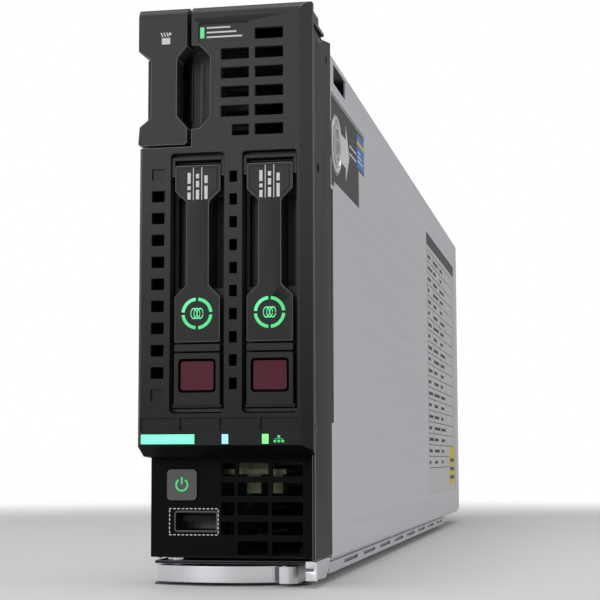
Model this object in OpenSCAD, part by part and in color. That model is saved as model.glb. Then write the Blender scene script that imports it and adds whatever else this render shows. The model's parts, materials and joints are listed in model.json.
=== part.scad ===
// Half-height blade server: moulded front bezel, two plug-in drives, sheet-metal chassis,
// sliding side panel, two processors with memory, and blind-mate connectors at the rear.
// X is the width, Y the depth (front at -Y), Z the height. The origin is at the centre of the base.

/* [Blade] */
// Width over the front bezel
blade_w = 55.5; // [55:0.1:58]
// Height from the resting surface to the top of the bezel
blade_h = 180.7; // [179:0.1:184]
// Depth from the bezel's front face to the rear connectors
blade_d = 517.6; // [500:0.1:540]
// Thickness of the chassis sheet
sheet = 1; // [0.8:0.1:1.2]
// Height of the pan's floor above the resting surface
pan_lift = 6.2; // [6:0.1:8]
// Clearance between pieces that slide or seat
gap = 0.3; // [0.2:0.05:0.35]
// Length of the rear connectors past the rear wall
rear_reach = 10.3; // [9:0.1:14]

/* [Bezel] */
// Wall of the moulded bezel
bezel_wall = 2; // [1.6:0.1:2.2]
// Depth of the bezel from its front face
bezel_d = 22; // [21:0.1:24]
// Radius of the top front edge
bezel_edge_r = 3.7; // [3:0.1:5]
// Set-back of the lower face behind the upper face
lower_setback = 15.4; // [14:0.1:16.5]
// Height where the upper face ends
ledge_top_z = 43.2; // [42.8:0.1:43.4]
// Height where the lower face begins
ledge_low_z = 39.4; // [39.2:0.1:39.8]
// Height of the bezel's lower edge
bezel_low_z = 8.5; // [8.2:0.1:9]
// Width of the slanted edge beside the face
slant_w = 3.4; // [3:0.1:4]

/* [Pull tab] */
// Height of the pull tab
tab_h = 44.3; // [43.8:0.1:44.8]
// Width of the pull tab
tab_w = 15.75; // [15:0.05:16]
// Thickness of the pull tab's head
tab_t = 8; // [7:0.1:9]
// Width of the finger scoop
scoop_w = 10.65; // [9:0.05:11]
// Travel of the pull tab
tab_travel = 50; // [40:1:55]

/* [Drives] */
// Width of the web between the two drive bays
web_w = 5.6; // [5.4:0.1:5.8]
// Lower edge of the drive bays
bay_low_z = 52.9; // [52.7:0.1:53.1]
// Depth of a drive carrier
carrier_d = 108; // [104:1:115]
// Radius of the drive lever's hinge pin
hinge_pin_r = 1; // [0.8:0.1:1.1]
// Running clearance on the hinge pins
pin_fit = 0.05; // [0.03:0.01:0.08]
// Height of the drive's eject button
eject_h = 8.8; // [8.4:0.1:9]
// Travel of the eject button
eject_travel = 1.5; // [1:0.1:1.8]

/* [Front controls] */
// Side of the square power button
power_side = 9.6; // [9:0.1:10]
// Travel of the power button
power_travel = 1; // [0.6:0.1:1.2]
// Width of the service port's opening
port_w = 13.2; // [12.5:0.1:13.6]
// Height of the service port's opening
port_h = 5.6; // [5.2:0.1:6]
// Height of the release lever
lever_h = 5.1; // [4.6:0.1:5.2]
// Radius of the release lever's pivot pin
lever_pin_r = 2; // [1.6:0.1:2.4]
// Travel of the release button
release_travel = 2; // [1:0.1:2.4]

/* [Side panel] */
// Gap in depth between the bezel's face and the side panel
panel_front = 37; // [36:0.1:38]
// Lower edge of the side panel
panel_low_z = 7.5; // [7.5:0.1:8]
// Distance from the top of the bezel down to the side panel
panel_drop = 7.9; // [6.7:0.1:8.7]
// Travel of the side panel
panel_travel = 13; // [10:0.5:14]
// Width of the panel's turned edges
panel_flange = 6.5; // [5:0.1:7]
// Radius of the panel's latch button
latch_r = 9.7; // [9:0.1:9.8]
// Travel of the latch button
latch_travel = 2; // [1.5:0.1:2.2]

/* [Electronics] */
// Thickness of the system board
board_t = 1.9; // [1.6:0.1:2]
// Gap between the pan's wall and the system board
board_lift = 4.8; // [4.6:0.1:5]
// Distance between neighbouring memory modules
memory_pitch = 9; // [8.6:0.1:9.2]
// Length of a plug-in card along the blade
plug_card_len = 46.6; // [44:0.1:48]
// Height of a memory module above the system board
memory_h = 31.25; // [28:0.05:32]
// Number of memory modules in a bank
memory_count = 4; // [2:1:4]
// Height of the heat sinks above the system board
sink_h = 30; // [24:0.5:31]
// Number of fins on a processor heat sink
fin_count = 25; // [15:1:28]
// Thickness of a heat-sink fin
fin_t = 0.6; // [0.4:0.1:0.8]
// Radius of the rear guide bores
guide_r = 3.25; // [3:0.05:3.5]
// Depth of the rear guide bores
guide_depth = 16; // [12:0.5:18]

/* [Hidden] */
$fn = 48;

// Colours
plastic = [0.22, 0.22, 0.23];
dark_metal = [0.13, 0.13, 0.14];
bright_metal = [0.75, 0.76, 0.78];
board_green = [0.32, 0.40, 0.12];
black_part = [0.08, 0.08, 0.08];

// Lines that the pieces share
half_w = blade_w / 2;
side_x = half_w - 0.55;
face_right = side_x - slant_w;
bezel_flank = side_x - sheet - gap;
rear_y = blade_d - rear_reach;
tab_low_z = blade_h - tab_h;
panel_top_z = blade_h - panel_drop;
pan_front = bezel_d + gap;
pan_floor = pan_lift + sheet;
pan_top = panel_top_z + gap;
strip_front = 6.5;
strip_rear = panel_front - gap;
panel_inner = side_x - sheet;
wall_inner = -side_x + sheet;
board_x = wall_inner + board_lift;
board_face = board_x + board_t;
board_rear = rear_y - 7;
board_low = pan_floor + 2.3;
board_high = pan_top - 2.1;

// Drive bays and cage
bay_w = (blade_w - 21.1) / 2;
bay_pitch = bay_w + web_w;
bay_center_2 = face_right - 0.9 - bay_w / 2;
bay_center_1 = bay_center_2 - bay_pitch;
bay_top_z = tab_low_z - 2.7;
bay_h = bay_top_z - bay_low_z;
carrier_w = bay_w - 2 * gap;
lever_half = carrier_w / 2 - 1.1;
eject_w = carrier_w - 6.3;
carrier_low = bay_low_z + 1.8;
carrier_top = bay_top_z - 1.4;
slant_x = face_right - bezel_wall * 0.41;
corner_d = bezel_flank - bezel_wall - slant_x;
cage_front = bezel_wall + corner_d + gap;
cage_low = carrier_low - gap - sheet;
cage_top = carrier_top + gap + sheet;
cage_left = bay_center_1 - bay_w / 2 - sheet;
cage_right = bay_center_2 + bay_w / 2 + sheet;
stay_x = cage_right - 7.1;
stay_foot = 6.8;
stay_len = 50;
oval_pitch = (cage_top - cage_low - 22.2) / 4;
cage_rear = carrier_d + 18;
backplane_y = cage_rear + gap;
hinge_y = 2.6;
hinge_z = carrier_top - 3.9;
barrel_r = hinge_pin_r + 0.6;
disk_plug_z = carrier_low + 5.3;
disk_plug_h = 44;

// Pull tab
tab_left = -half_w;
tab_right = tab_left + tab_w;
scoop_low = tab_low_z + 8.9;
scoop_high = blade_h - 16.8;
label_x = tab_left + 3.25;
label_t = 0.9;
label_len = tab_travel + 20;
seam = 1.4;
pocket_right = tab_right + seam;
pocket_low = tab_low_z - 0.7;
scoop_right = tab_right - 3.3 + scoop_w;
pocket_rear = tab_t + 1;

// Release lever and its button
lever_z = 1;
lever_left = -half_w + 2.75;
lever_len = blade_w - 16.7;
lever_right = lever_left + lever_len;
lever_arc_r = 41.6;
lever_front = 11.3;
lever_pivot = [lever_left + 5, 22];
release_x0 = lever_right + 1;
release_x1 = release_x0 + 5.6;
lever_top = lever_z + lever_h;
bracket_top = lever_top + gap + sheet;
bracket_rear = 31.2;

// Memory and processors, spread over the depth between the drive cage and the plug-in cards
card_end = board_rear - 22;
card_y = card_end - plug_card_len;
bank_edge = 5.5;
bank_span = (memory_count - 1) * memory_pitch;
bank_low_z = board_low + bank_edge;
bank_high_z = board_high - bank_edge - bank_span;
bank_front_y = cage_rear + 16;
bank_gap = 12;
memory_len = (card_y - 10 - bank_front_y - bank_gap) / 2;
bank_rear_y = bank_front_y + memory_len + bank_gap;
socket_h = 8;
socket_end = 4;
socket_half = 3;
tower_half = socket_half + 0.2;
slot_half = 0.85;
module_half = 0.65;
chip_count = 9;
chip_gap = 4.5;
chip_pitch = (memory_len - 7.35) / chip_count;
chip_t = 1.1;
cpu_z = (board_low + board_high) / 2;
sink_inset = 14.675;
sink_len = memory_len - 2 * sink_inset;
sink_w = bank_high_z - bank_low_z - bank_span - 2 * (tower_half + 8.05);
sink_screw_z = sink_w / 2 - 9;
sink_screw_y = 6;

// Rear end of the runners
rail_rear = rear_y - 92;

// Guide studs of the side panel
stud_r = 1.5;
stud_y = [90, 240, 390];
stud_x = panel_inner - 3.4;

// The blade's front face moved to its place in depth
module at_front() translate([0, -blade_d / 2, 0]) children();

// A box between two corners
module block(low, high) translate(low) cube(high - low);

// A shape in X and Z, thick from y0 to y1
module facing(y0, y1) translate([0, y1, 0]) rotate([90, 0, 0]) linear_extrude(y1 - y0) children();

// A shape in Y and Z, thick from x0 to x1
module sideways(x0, x1) translate([x0, 0, 0]) rotate([90, 0, 90]) linear_extrude(x1 - x0) children();

// A rectangle with round corners
module round_rect(x0, z0, x1, z1, r) {
    translate([x0 + r, z0]) square([x1 - x0 - 2 * r, z1 - z0]);
    translate([x0, z0 + r]) square([x1 - x0, z1 - z0 - 2 * r]);
    for (x = [x0 + r, x1 - r], z = [z0 + r, z1 - r]) translate([x, z]) circle(r);
}

// A slot with round ends, along the first axis
module stadium(length, width) {
    translate([width / 2, 0]) circle(width / 2);
    translate([length - width / 2, 0]) circle(width / 2);
    translate([width / 2, -width / 2]) square([length - width, width]);
}

// Side outline of the bezel, moved in by a wall: rounded top edge, ledge and set-back lower face
module bezel_side(wall) {
    r = bezel_edge_r - wall * 0.6;
    top = blade_h - wall;
    rear = wall > 0 ? bezel_d + 1 : bezel_d;
    polygon(concat(
        [for (a = [0 : 7.5 : 90]) [wall + r - r * cos(a), top - r + r * sin(a)]],
        [
            [rear, top], [rear, bezel_low_z + wall], [lower_setback + wall, bezel_low_z + wall],
            [lower_setback + wall, ledge_low_z + wall], [7 + wall, ledge_low_z + 0.4 + wall],
            [wall, ledge_top_z + wall]
        ]));
}

// Plan outline of the bezel, with its slanted edge and the seat of the side strip
module bezel_plan() {
    left = -half_w + 0.6;
    polygon([
        [left, bezel_d + 1], [left, 0.6], [left + 0.6, 0], [face_right, 0], [side_x, slant_w],
        [side_x, strip_front - gap], [bezel_flank, strip_front - gap], [bezel_flank, bezel_d + 1]
    ]);
}

// Plan outline of the space inside the bezel
module bezel_inner_plan() {
    left = -half_w + 0.6 + bezel_wall;
    right = bezel_flank - bezel_wall;
    polygon([
        [left, bezel_d + 2], [left, 0.6 + bezel_wall], [left + 0.6, bezel_wall], [slant_x, bezel_wall],
        [right, bezel_wall + corner_d], [right, bezel_d + 2]
    ]);
}

module bezel_outside() intersection() {
    sideways(-half_w - 1, half_w + 1) bezel_side(0);
    linear_extrude(blade_h + 1) bezel_plan();
}

module bezel_inside() intersection() {
    sideways(-half_w - 1, half_w + 1) bezel_side(bezel_wall);
    linear_extrude(blade_h + 1) bezel_inner_plan();
}

// Front outline of the pocket that takes the pull tab and the finger scoop, grown by a wall
module pocket_outline(wall) polygon([
    [-half_w - 5, pocket_low - wall], [pocket_right + wall, pocket_low - wall],
    [pocket_right + wall, scoop_low - 4.1 - wall * 0.4], [pocket_right + 2.6, scoop_low - 3.9 - wall],
    [scoop_right + wall, scoop_low - 0.4 - wall * 0.4], [scoop_right + wall, scoop_high + 0.4 + wall * 0.4],
    [pocket_right + 2.6, scoop_high + 3.8 + wall], [pocket_right + wall, scoop_high + 4 + wall * 0.4],
    [pocket_right + wall, blade_h + 2], [-half_w - 5, blade_h + 2]
]);

// Rows of the two grilles
vent_pitch = 6.05;
slot_h = 3.6;
lower_slot_h = 4.1;

// Slots of the upper grille, beside the badge recess
module upper_vents() {
    right = face_right - 5.15;
    width = (face_right - scoop_right - 10.4) / 2;
    inner = right - width - 1.8;
    for (row = [0 : 5]) {
        low = blade_h - 11.9 - row * vent_pitch;
        facing(-1, bezel_wall + 1) round_rect(right - width, low, right, low + slot_h, 0.3);
        if (row > 0)
            facing(-1, bezel_wall + 1)
                round_rect(inner - (row < 5 ? width : width * 0.6), low, inner, low + slot_h, 0.3);
    }
}

// Square holes beside and between the drive bays
module bay_vents() {
    left = bay_center_1 - bay_w / 2 - 6;
    middle = bay_center_1 + bay_w / 2 + 1.55;
    for (k = [0 : 10]) {
        low = bay_top_z - 8.4 - k * (bay_h - 12.2) / 10;
        depth = k == 0 || k == 10 ? 0.8 : bezel_wall + 1;
        facing(-1, depth) round_rect(left, low, left + 4.2, low + slot_h, 0.3);
    }
    for (k = [0 : 9]) {
        low = bay_top_z - 9.7 - k * (bay_h - 16.9) / 9;
        facing(-1, bezel_wall + 1) round_rect(middle, low, middle + web_w - 3.1, low + slot_h, 0.3);
    }
}

// Slots of the lower grille
module lower_vents() {
    right = face_right - 2.25;
    columns = [[right - 25.95, right - 21.65, 3], [right - 20.65, right - 10.9, 4],
        [right - 9.8, right, 4]];
    for (c = columns, row = [0 : c[2]]) {
        low = ledge_low_z - 5.75 - row * vent_pitch;
        facing(lower_setback - 1, lower_setback + bezel_wall + 1)
            round_rect(c[0], low, c[1], low + lower_slot_h, 0.4);
    }
}

// Four shallow windows above the status lights
light_boxes = [
    [tab_left + 1.45, tab_left + 13.1], [tab_left + 13.99, face_right - 25.96],
    [face_right - 25.01, face_right - 13.54], [face_right - 12.4, face_right - 0.64]
];
lens_low = ledge_top_z + 0.4;
lens_high = ledge_top_z + 3.3;
health_x = [tab_left + 1.75, tab_left + 18.65];
unit_x = [face_right - 24.3, face_right - 22.3];
link_x = [face_right - 11.8, face_right - 9.8];
power_center = [tab_left + 10.75, 31];
power_hole = power_side / 2 + gap;
port_left = tab_left + 8.45;
port_low = 16.8;
port_right = port_left + port_w;
port_high = port_low + port_h;
collar = 2.2;

module front_bezel() at_front() color(plastic) difference() {
    union() {
        difference() {
            bezel_outside();
            bezel_inside();
        }
        // pocket walls behind the pull tab
        intersection() {
            facing(bezel_wall - 0.5, pocket_rear + bezel_wall) pocket_outline(bezel_wall);
            bezel_outside();
        }
        // collar round the service port
        facing(lower_setback, lower_setback + bezel_wall + 3)
            round_rect(port_left - collar, port_low - collar, port_right + collar, port_high + collar, 0.8);
    }
    difference() {
        facing(-1, pocket_rear) pocket_outline(0);
        // vertical ribs on the scoop's floor
        for (x = [tab_right - 1.2, tab_right + 2.3, scoop_right - 2])
            facing(pocket_rear - 0.8, pocket_rear + 1) polygon([
                [x, scoop_low], [x + 0.9, scoop_low], [x + 0.9, scoop_high], [x, scoop_high]
            ]);
    }
    // way through for the label card and the diagnostic connector
    facing(0, bezel_d) round_rect(label_x - 0.7, scoop_low - 4, label_x + 1.6, scoop_high + 5, 0.5);
    facing(0, bezel_d) round_rect(label_x + 4, scoop_low - 2, tab_right - 0.6, scoop_high + 3, 0.5);
    // badge recess
    facing(-1, 0.5) round_rect(tab_right + 3.6, blade_h - 12.2, face_right - 16.1, blade_h - 6.1, 0.4);
    upper_vents();
    bay_vents();
    lower_vents();
    for (bay = [0, 1])
        facing(-1, bezel_wall + 1) translate([bay_center_1 + bay * bay_pitch, 0])
            round_rect(-bay_w / 2, bay_low_z, bay_w / 2, bay_top_z, 1.2);
    for (b = light_boxes) facing(-1, 0.7)
        round_rect(b[0], ledge_top_z + 4.35, b[1], ledge_top_z + 8.35, 0.3);
    for (x = [health_x, unit_x, link_x])
        block([x[0], -1, lens_low], [x[1], bezel_wall + 1, lens_high]);
    facing(lower_setback - 1, lower_setback + bezel_wall + 1) translate(power_center)
        round_rect(-power_hole, -power_hole, power_hole, power_hole, 1.5);
    facing(lower_setback - 1, lower_setback + bezel_wall + 4)
        round_rect(port_left - 0.6, port_low - 0.6, port_right + 0.6, port_high + 0.6, 1.2);
    // open underside behind the lower face, over the release lever
    block([-half_w + 3, lower_setback + bezel_wall, bezel_low_z - 1],
          [bezel_flank - bezel_wall, bezel_d + 1, bezel_low_z + bezel_wall + 1]);
}

module lens(span) at_front()
    block([span[0], 0.1, lens_low], [span[1], bezel_wall + 1, lens_high]);
module health_light() color([0.2, 0.9, 0.4]) lens(health_x);
module unit_light() color([0.2, 0.4, 1]) lens(unit_x);
module link_light() color([0.3, 0.9, 0.3]) lens(link_x);

// Round head and cap of the pull tab, cut to the bezel's rounded edge
module pull_tab() at_front() color(plastic) intersection() {
    sideways(-half_w - 1, half_w + 1) bezel_side(0);
    difference() {
        union() {
            facing(0, tab_t) polygon([
                [tab_left, blade_h + 1], [tab_left, scoop_high + 2.8], [tab_left + 4, scoop_high - 0.1],
                [tab_left + 4, scoop_low], [tab_left + 0.4, scoop_low - 2.9], [tab_left, tab_low_z + 0.6],
                [tab_left + 0.6, tab_low_z], [tab_right - 0.8, tab_low_z], [tab_right, tab_low_z + 0.8],
                [tab_right, scoop_low - 3.5], [tab_right - 3.3, scoop_low + 0.2],
                [tab_right - 3.3, scoop_high], [tab_right, scoop_high + 4], [tab_right, blade_h + 1]
            ]);
            // shank that carries the label card
            block([label_x - 0.5, tab_t - 0.5, scoop_low - 3],
                [label_x + 1.4, pocket_rear + 3, scoop_high + 4]);
        }
        // hollow back of the moulding
        facing(bezel_wall + 1, tab_t + 1)
            round_rect(label_x + 2.1, scoop_low - 5, tab_right - 4.6, scoop_high + 3, 0.8);
        // slot for the card
        block([label_x - 0.05, pocket_rear + 0.5, scoop_low - 2],
              [label_x + label_t + 0.05, pocket_rear + 4, scoop_high + 3]);
    }
}

module label_card() at_front() color([0.85, 0.85, 0.82])
    sideways(label_x, label_x + label_t)
        round_rect(pocket_rear + 0.6, scoop_low - 1.9, pocket_rear + label_len, scoop_high + 2.9, 1.5);

// Sheet-metal strip behind the bezel on the open side
module side_frame() at_front() color(dark_metal) difference() {
    union() {
        sideways(side_x - sheet, side_x) polygon([
            [strip_front, bezel_low_z - 0.2], [strip_rear, bezel_low_z - 0.2],
                [strip_rear, panel_top_z + 3.8],
            [strip_front + 16, panel_top_z + 1], [strip_front + 9, panel_top_z - 1.8],
                [strip_front, panel_top_z - 1.8]
        ]);
        // turned rear edge
        block([panel_inner - 1.6, strip_rear - sheet, cage_top + 2], [side_x, strip_rear, panel_top_z - 2]);
        block([panel_inner - 1.6, strip_rear - sheet, bezel_low_z], [side_x, strip_rear, cage_low - 1]);
    }
    // dimple and notch in the strip
    translate([panel_inner - 1, strip_front + 6.5, bay_top_z - 3.7]) rotate([0, 90, 0])
        cylinder(r = 1.6, h = sheet + 2);
    block([panel_inner - 1, strip_front - 1, ledge_top_z + 4.1],
        [side_x + 1, strip_front + 1.6, ledge_top_z + 6.8]);
    // seat for the top guide's screw
    translate([panel_inner - 1, strip_front + 22, panel_top_z - 4]) rotate([0, 90, 0])
        cylinder(r = 1.2, h = sheet + 2);
}

// Folded guide over the side frame, with the blade's upper corner
module top_guide() at_front() color(dark_metal) {
    low = panel_top_z + 2.8;
    sideways(side_x - 7, side_x - 0.2) polygon([
        [bezel_d + gap, low], [26, low], [26, low + 1], [bezel_d + gap, low + 1]
    ]);
    sideways(bezel_flank + 0.1, side_x - 0.2) polygon([
        [strip_front + gap, low], [26, low], [26, low + 1], [strip_front + gap, low + 1]
    ]);
    sideways(side_x - 3.2 - sheet, side_x - sheet - gap) polygon([
        [bezel_d + gap, pan_top + sheet], [strip_rear - sheet - gap, pan_top + sheet], [26, low],
            [bezel_d + gap, low]
    ]);
}

// Chassis pan: floor, back wall and top, open on the panel's side
module pan_profile() polygon([
    [side_x - 1.2, pan_lift], [side_x - 1.2, pan_floor], [wall_inner, pan_floor], [wall_inner, pan_top],
    [side_x - 1.2, pan_top], [side_x - 1.2, pan_top + sheet], [-side_x, pan_top + sheet],
        [-side_x, pan_lift]
]);

module base_pan() at_front() color(bright_metal) difference() {
    facing(pan_front, rear_y) pan_profile();
    // room for the release lever's bracket under the bezel
    block([-side_x - 1, pan_front - 1, 0], [side_x, bracket_rear + gap, bracket_top + gap]);
    // air slots near the rear of the top and floor
    for (z = [pan_lift - 1, pan_top - 1], k = [0 : 9])
        translate([-14 + k % 2 * 2, rear_y - 70 + k * 5.6, z]) linear_extrude(sheet + 2) stadium(22, 2.4);
    // keyholes in the wall
    for (y = [150, 300], z = [60, 120])
        translate([-side_x - 1, y, z]) rotate([0, 90, 0]) cylinder(r = 2.2, h = sheet + 2);
}

// Studs on the pan that run in the panel's slotted edges
module panel_studs() at_front() color(bright_metal) for (y = stud_y) {
    translate([stud_x, panel_front + y, pan_top - 3]) cylinder(r = stud_r, h = 3);
    translate([stud_x, panel_front + y, pan_floor]) cylinder(r = stud_r, h = 3);
}

// Runner under the pan; side is 1 on the panel's side and -1 on the other
module bottom_rail(side) at_front() color(bright_metal) difference() {
    facing(bracket_rear + 2 * gap, rail_rear) scale([side, 1]) polygon([
        [side_x - 9.4, pan_lift], [side_x - 9.4, sheet], [side_x - 17, sheet], [side_x - 17, 0],
        [side_x - 8.4, 0], [side_x - 8.4, pan_lift - sheet], [side_x - 1.2, pan_lift - sheet],
        [side_x - 1.2, pan_lift - 3.4], [side_x - 0.2, pan_lift - 3.4], [side_x - 0.2, pan_lift]
    ]);
    for (y = [bracket_rear + 30 : 44 : rail_rear - 34])
        translate([side > 0 ? side_x - 7 : -side_x - 1, y, pan_lift - 2]) cube([8, 30, 1.2]);
}
module bottom_rail_left() bottom_rail(-1);
module bottom_rail_right() bottom_rail(1);

// Catch on the lower corner that locks the blade in its bay
module side_catch() at_front() color(bright_metal) difference() {
    union() {
        sideways(side_x - sheet, side_x) polygon([
            [8.5, 2.6], [24, 2.1], [30.5, 4.6], [31.4, bezel_low_z - 0.5], [8.5, bezel_low_z - 0.5]
        ]);
        block([side_x - 3.6, 8.5, 2.1], [side_x, 9.5, 5]);
        block([side_x - 3.6, 8.5, pan_lift - 0.3], [side_x, 9.5, bezel_low_z - 0.5]);
        block([side_x - 4.4, 22.6, pan_lift - sheet], [side_x, 31.4, pan_lift]);
    }
    translate([side_x - 2.6, 26.8, pan_lift - 3]) cylinder(r = 1.3, h = 4);
}

// Forked bracket that carries the release lever
module lever_bracket() at_front() color(dark_metal) difference() {
    union() {
        for (z = [[0, lever_z - gap], [lever_top + gap, bracket_top]])
            translate([0, 0, z[0]]) linear_extrude(z[1] - z[0]) {
                polygon([
                    [lever_left - 1.4, bracket_rear], [lever_left - 1.4, 17.5], [lever_left + 4, 16],
                    [lever_left + 12, 17.2], [release_x0, 18.5], [release_x1 + 2, 18.5],
                    [release_x1 + 2, bracket_rear]
                ]);
                translate(lever_pivot) circle(3.6);
            }
        block([lever_left - 1.4, bracket_rear - sheet, 0], [release_x1 - 1.8, bracket_rear, bracket_top]);
        // guide post of the release button
        block([release_x0 + 1.2, 24.5, 0], [release_x1 - 1.8, bracket_rear, bracket_top]);
    }
    translate([lever_pivot[0], lever_pivot[1], -1]) cylinder(r = lever_pin_r, h = 12);
}

module lever_pivot_pin() at_front() color(bright_metal) translate([lever_pivot[0], lever_pivot[1], 0]) {
    cylinder(r = lever_pin_r, h = bracket_top);
    translate([0, 0, bracket_top]) cylinder(r = lever_pin_r + 1.2, h = 0.7);
}

// Swinging lever: curved front, pivot eye on the left
module release_lever() at_front() color([0.85, 0.86, 0.88]) difference() {
    translate([0, 0, lever_z]) linear_extrude(lever_h) difference() {
        union() {
            intersection() {
                translate([(lever_left + lever_right) / 2, lever_front + lever_arc_r])
                    circle(lever_arc_r, $fn = 180);
                translate([lever_left, 0]) square([lever_len, 21]);
            }
            translate(lever_pivot) circle(4.2);
        }
        // hollow behind the front face
        translate([lever_left + 11, 17.8]) square([lever_len - 14, 8]);
    }
    translate([lever_pivot[0], lever_pivot[1], lever_z - 1])
        cylinder(r = lever_pin_r + pin_fit, h = lever_h + 2);
}

// Press-in button at the end of the lever, turning the corner of the blade
module release_button() at_front() color([0.7, 0.71, 0.72]) translate([0, 0, lever_z])
    linear_extrude(lever_h) {
    r = 3;
    difference() {
        union() {
            translate([release_x0, lever_front + 0.3]) square([release_x1 - release_x0 - r, 6.4]);
            translate([release_x0, lever_front + 0.3 + r]) square([release_x1 - release_x0, 3.4]);
            translate([release_x1 - r, lever_front + 0.3 + r]) circle(r);
            translate([release_x1 - 1.4, lever_front + 6])
                square([1.4, bracket_rear - release_travel - gap - lever_front - 6]);
        }
        translate([release_x0 - 1, lever_front + 2.1]) square([3, 3]);
    }
}

// Sheet-metal cage that holds both drives
module drive_cage() at_front() color([0.5, 0.5, 0.5]) difference() {
    block([cage_left, cage_front, cage_low], [cage_right, cage_rear, cage_top]);
    for (bay = [0, 1])
        translate([bay_center_1 + bay * bay_pitch, 0, 0])
            block([-bay_w / 2, 0, carrier_low - gap], [bay_w / 2, cage_rear + 1, carrier_top + gap]);
    // space between the two bays
    block([bay_center_1 + bay_w / 2 + sheet, 0, cage_low - 1],
          [bay_center_1 + bay_pitch - bay_w / 2 - sheet, cage_rear - 12, cage_top - sheet]);
    // oval slots in the right wall
    for (k = [0 : 4], j = [0 : 2])
        translate([cage_right - sheet - 1, panel_front + 3 + j * (cage_rear - panel_front - 29) / 2,
                   cage_low + 6.6 + k * oval_pitch])
            rotate([0, 90, 0]) linear_extrude(sheet + 2) rotate(180) translate([-3.4, 0]) stadium(6.8, 2.6);
}

// Angle brackets that hold the cage between the pan's floor and its top
module cage_stays() at_front() color([0.5, 0.5, 0.5]) {
    y = cage_rear - stay_len - 6;
    sideways(stay_x, stay_x + sheet)
        polygon([[y, pan_floor], [y + stay_len, pan_floor], [y + stay_len, cage_low], [y, cage_low]]);
    block([stay_x - stay_foot, y, pan_floor], [stay_x, y + stay_len, pan_floor + sheet]);
    sideways(stay_x, stay_x + sheet)
        polygon([[y, cage_top], [y + stay_len, cage_top], [y + stay_len, pan_top], [y, pan_top]]);
    block([stay_x - stay_foot, y, pan_top - sheet], [stay_x, y + stay_len, pan_top]);
}

module drive_backplane() at_front() color(board_green) difference() {
    block([cage_left, backplane_y, cage_low], [cage_right, backplane_y + 1.6, cage_top]);
    for (bay = [0, 1], z = [cage_low + 24, cage_top - 12])
        translate([bay_center_1 + bay * bay_pitch, backplane_y + 3, z]) rotate([90, 0, 0])
            cylinder(r = 3, h = 5);
}

module drive_connectors() at_front() color(black_part) for (bay = [0, 1])
    translate([bay_center_1 + bay * bay_pitch, 0, 0]) difference() {
        block([-2.8, carrier_d + 6, disk_plug_z], [2.8, backplane_y, disk_plug_z + disk_plug_h]);
        block([-1.2, carrier_d + 5, disk_plug_z + 2],
            [1.2, carrier_d + 10, disk_plug_z + disk_plug_h - 14]);
        block([-1.2, carrier_d + 5, disk_plug_z + disk_plug_h - 12],
              [1.2, carrier_d + 10, disk_plug_z + disk_plug_h - 2]);
    }

// Drive carrier: front frame with side windows, side rails and hinge pin
module carrier(center) at_front() color(plastic) translate([center, 0, 0]) difference() {
    w = carrier_w / 2;
    union() {
        // front frame
        facing(5, 7) round_rect(-w, carrier_low, w, carrier_top, 0.8);
        // top bar with its sloping ends
        facing(0.6, 5) polygon([
            [-w + 0.6, carrier_top], [w - 0.6, carrier_top], [w - 0.6, carrier_top - 0.9],
            [w - 1.6, carrier_top - 0.9], [-w + 1.6, carrier_top - 0.9], [-w + 0.6, carrier_top - 0.9]
        ]);
        // ears and hinge pin
        for (s = [-1, 1]) scale([s, 1, 1]) block([w - 0.9, 0.9, hinge_z - 2], [w, 5, carrier_top]);
        translate([-w + 0.1, hinge_y, hinge_z]) rotate([0, 90, 0])
            cylinder(r = hinge_pin_r, h = carrier_w - 0.2);
        // strip above the button frame
        facing(0.4, 5) round_rect(-w + 1.1, carrier_low + 17.2, w - 1.1, carrier_low + 19.3, 0.3);
        // button frame and lower lip
        facing(0.4, 5) round_rect(-w + 1.1, carrier_low + 0.7, w - 1.1, carrier_low + 16.6, 0.5);
        facing(1, 5) round_rect(-w + 0.6, carrier_low, w - 0.6, carrier_low + 1, 0.3);
        // sleeve and floor behind the button
        facing(6.5, 9) round_rect(-w + 1.1, carrier_low + 2, w - 1.1, carrier_low + 16.6, 0.5);
        // side rails
        for (s = [-1, 1]) scale([s, 1, 1]) block([w - 0.9, 6, carrier_low + 1.4],
            [w, carrier_d, carrier_top - 0.8]);
        // lower and upper shelves that hold the disk
        for (z = [carrier_low + 1.4, carrier_top - 2.4]) block([-w, 12, z], [w, carrier_d - 18, z + 1.6]);
    }
    // windows beside the lever's neck
    for (s = [-1, 1]) scale([s, 1, 1])
        facing(4, 8) round_rect(lever_half / 2, carrier_low + 37, w - 1, hinge_z - 8, 0.4);
    // pocket for the eject button
    facing(-1, 7.4)
        round_rect(-eject_w / 2 - 0.8, eject_low - 0.8, eject_w / 2 + 0.8, eject_low + eject_h + 0.8, 1.2);
    // slots in the rails
    for (y = [24 : 16 : 90]) block([-w - 1, y, carrier_low + 14], [w + 1, y + 9, carrier_low + 20]);
    for (y = [24 : 16 : 90]) block([-w - 1, y, carrier_top - 20], [w + 1, y + 9, carrier_top - 14]);
}
eject_low = carrier_low + 5.3;
module drive_1_carrier() carrier(bay_center_1);
module drive_2_carrier() carrier(bay_center_2);

// Sealed disk between the carrier's rails
module disk(center) at_front() color([0.55, 0.56, 0.58]) translate([center, 0, 0]) {
    w = carrier_w / 2 - 0.9;
    low = carrier_low + 3;
    high = carrier_top - 2.4;
    difference() {
        block([-w, 9.2, low], [w, carrier_d - 2, high]);
        // stepped front and rear of the casting
        block([w - 4, 8, low - 1], [w + 1, 12, high + 1]);
        block([-w - 1, carrier_d - 10, low + 5], [w - 3, carrier_d - 1, low + 50]);
    }
    translate([-w + 1.2, carrier_d - 9.8, low + 6]) cube([2.2, 11, 40]);
}
module drive_1_disk() disk(bay_center_1);
module drive_2_disk() disk(bay_center_2);

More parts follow.
